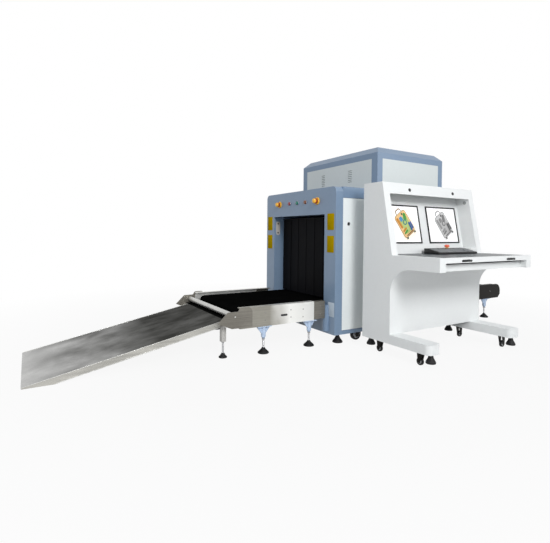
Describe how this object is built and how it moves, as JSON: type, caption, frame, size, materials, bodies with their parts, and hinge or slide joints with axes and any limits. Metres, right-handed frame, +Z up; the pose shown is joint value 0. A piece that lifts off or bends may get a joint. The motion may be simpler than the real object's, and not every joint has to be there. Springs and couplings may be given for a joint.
{
  "type": "baggage x-ray scanner with entrance ramp and operator console",
  "caption": "Baggage x-ray scanner: belt through a curtained tunnel under a generator housing, with an entrance ramp and an operator console.",
  "frame": {"origin": "on the floor, at the middle of the outline of the scanner, ramp and console together", "axes": "+X along the belt from entrance to exit, +Y from the console towards the scanner, +Z up"},
  "size_m": [4.604, 1.97, 1.661],
  "materials": {
    "portal_blue": "plain",
    "frame_blue": "plain",
    "panel_grey": "plain",
    "console_white": "plain",
    "stainless": "plain",
    "dark_steel": "plain",
    "belt_rubber": "plain",
    "lead_rubber": "plain",
    "black_rubber": "plain",
    "caster_steel": "plain",
    "stop_orange": "plain",
    "stop_red": "plain",
    "lamp_red": "plain",
    "lamp_green": "plain",
    "lamp_amber": "plain",
    "plate_steel": "plain",
    "monitor_black": "plain",
    "desk_laminate": "plain",
    "keyboard_plastic": "plain"
  },
  "bodies": {
    "root": {"entrance_portal": "portal_blue", "exit_portal": "portal_blue", "base_frame": "frame_blue", "tunnel_walls": "frame_blue", "tunnel_roof": "frame_blue", "roof_cover": "frame_blue", "side_panels": "panel_grey", "housing_frame": "frame_blue", "housing_panels": "panel_grey", "conveyor_belt": "belt_rubber", "belt_drums": "dark_steel", "slider_bed": "dark_steel", "entrance_rails": "stainless", "rail_joint_pieces": "stainless", "exit_rails": "dark_steel", "ramp_cheeks": "stainless", "ramp_deck": "stainless", "ramp_stand": "stainless", "leg_brackets": "frame_blue", "levelling_feet": "black_rubber", "body_caster_forks": "caster_steel", "stop_button_collars": "stop_orange", "red_lamps": "lamp_red", "green_lamps": "lamp_green", "amber_lamps": "lamp_amber", "light_barrier_plates": "plate_steel", "cable_duct_covers": "frame_blue", "console_side_left": "console_white", "console_side_right": "console_white", "console_knee_panel": "console_white", "console_back_panel": "console_white", "console_hood": "console_white", "console_monitor_panel": "console_white", "monitors": "monitor_black", "console_desktop": "desk_laminate", "console_desk_rail": "console_white", "console_shelf": "console_white", "control_keyboard": "keyboard_plastic", "console_feet": "black_rubber"},
    "entrance_curtain": {"entrance_curtain": "lead_rubber"},
    "exit_curtain": {"exit_curtain": "lead_rubber"},
    "ramp_roller": {"ramp_roller": "stainless"},
    "keyboard_stop": {"keyboard_stop_button": "stop_red"},
    "stop_button_entrance_near": {"stop_button_entrance_near": "stop_orange"},
    "stop_button_entrance_far": {"stop_button_entrance_far": "stop_orange"},
    "stop_button_exit_near": {"stop_button_exit_near": "stop_orange"},
    "stop_button_exit_far": {"stop_button_exit_far": "stop_orange"},
    "body_wheel_entrance_near": {"body_wheel_entrance_near": "black_rubber"},
    "body_wheel_entrance_far": {"body_wheel_entrance_far": "black_rubber"},
    "body_wheel_exit_near": {"body_wheel_exit_near": "black_rubber"},
    "body_wheel_exit_far": {"body_wheel_exit_far": "black_rubber"},
    "caster_fork_left_front": {"caster_fork_left_front": "caster_steel"},
    "caster_wheel_left_front": {"caster_wheel_left_front": "black_rubber"},
    "caster_fork_left_rear": {"caster_fork_left_rear": "caster_steel"},
    "caster_wheel_left_rear": {"caster_wheel_left_rear": "black_rubber"},
    "caster_fork_right_front": {"caster_fork_right_front": "caster_steel"},
    "caster_wheel_right_front": {"caster_wheel_right_front": "black_rubber"},
    "caster_fork_right_rear": {"caster_fork_right_rear": "caster_steel"},
    "caster_wheel_right_rear": {"caster_wheel_right_rear": "black_rubber"}
  },
  "joints": [
    {"name": "entrance_curtain_swing", "type": "hinge", "parent": "root", "child": "entrance_curtain", "pos_m": [-0.044, 0.435, 1.042], "axis": [0, 1, 0], "range_deg": [-75, 75]},
    {"name": "exit_curtain_swing", "type": "hinge", "parent": "root", "child": "exit_curtain", "pos_m": [1.506, 0.435, 1.042], "axis": [0, 1, 0], "range_deg": [-75, 75]},
    {"name": "ramp_roller_spin", "type": "hinge", "parent": "root", "child": "ramp_roller", "pos_m": [-0.992, 0.435, 0.3], "axis": [0, 1, 0], "continuous": true},
    {"name": "stop_button_entrance_near_push", "type": "slide", "parent": "root", "child": "stop_button_entrance_near", "axis": [1, 0, 0], "range_m": [0, 0.0045], "stiffness_N_per_m": 800},
    {"name": "stop_button_entrance_far_push", "type": "slide", "parent": "root", "child": "stop_button_entrance_far", "axis": [1, 0, 0], "range_m": [0, 0.0045], "stiffness_N_per_m": 800},
    {"name": "stop_button_exit_near_push", "type": "slide", "parent": "root", "child": "stop_button_exit_near", "axis": [-1, 0, 0], "range_m": [0, 0.0045], "stiffness_N_per_m": 800},
    {"name": "stop_button_exit_far_push", "type": "slide", "parent": "root", "child": "stop_button_exit_far", "axis": [-1, 0, 0], "range_m": [0, 0.0045], "stiffness_N_per_m": 800},
    {"name": "keyboard_stop_push", "type": "slide", "parent": "root", "child": "keyboard_stop", "axis": [0, 0, -1], "range_m": [0, 0.003], "stiffness_N_per_m": 500},
    {"name": "body_wheel_entrance_near_spin", "type": "hinge", "parent": "root", "child": "body_wheel_entrance_near", "pos_m": [0.124, -0.067, 0.055], "axis": [0, 1, 0], "continuous": true},
    {"name": "body_wheel_entrance_far_spin", "type": "hinge", "parent": "root", "child": "body_wheel_entrance_far", "pos_m": [0.124, 0.937, 0.055], "axis": [0, 1, 0], "continuous": true},
    {"name": "body_wheel_exit_near_spin", "type": "hinge", "parent": "root", "child": "body_wheel_exit_near", "pos_m": [1.338, -0.067, 0.055], "axis": [0, 1, 0], "continuous": true},
    {"name": "body_wheel_exit_far_spin", "type": "hinge", "parent": "root", "child": "body_wheel_exit_far", "pos_m": [1.338, 0.937, 0.055], "axis": [0, 1, 0], "continuous": true},
    {"name": "caster_fork_left_front_swivel", "type": "hinge", "parent": "root", "child": "caster_fork_left_front", "pos_m": [0.0595, -0.804, 0.097], "axis": [0, 0, 1], "continuous": true},
    {"name": "caster_wheel_left_front_spin", "type": "hinge", "parent": "caster_fork_left_front", "child": "caster_wheel_left_front", "pos_m": [0.0595, -0.794, 0.027], "axis": [1, 0, 0], "continuous": true},
    {"name": "caster_fork_left_rear_swivel", "type": "hinge", "parent": "root", "child": "caster_fork_left_rear", "pos_m": [0.0595, -0.423, 0.097], "axis": [0, 0, 1], "continuous": true},
    {"name": "caster_wheel_left_rear_spin", "type": "hinge", "parent": "caster_fork_left_rear", "child": "caster_wheel_left_rear", "pos_m": [0.0595, -0.413, 0.027], "axis": [1, 0, 0], "continuous": true},
    {"name": "caster_fork_right_front_swivel", "type": "hinge", "parent": "root", "child": "caster_fork_right_front", "pos_m": [1.0145, -0.804, 0.097], "axis": [0, 0, 1], "continuous": true},
    {"name": "caster_wheel_right_front_spin", "type": "hinge", "parent": "caster_fork_right_front", "child": "caster_wheel_right_front", "pos_m": [1.0245, -0.804, 0.027], "axis": [0, 1, 0], "continuous": true},
    {"name": "caster_fork_right_rear_swivel", "type": "hinge", "parent": "root", "child": "caster_fork_right_rear", "pos_m": [1.0145, -0.423, 0.097], "axis": [0, 0, 1], "continuous": true},
    {"name": "caster_wheel_right_rear_spin", "type": "hinge", "parent": "caster_fork_right_rear", "child": "caster_wheel_right_rear", "pos_m": [1.0245, -0.423, 0.027], "axis": [0, 1, 0], "continuous": true}
  ]
}
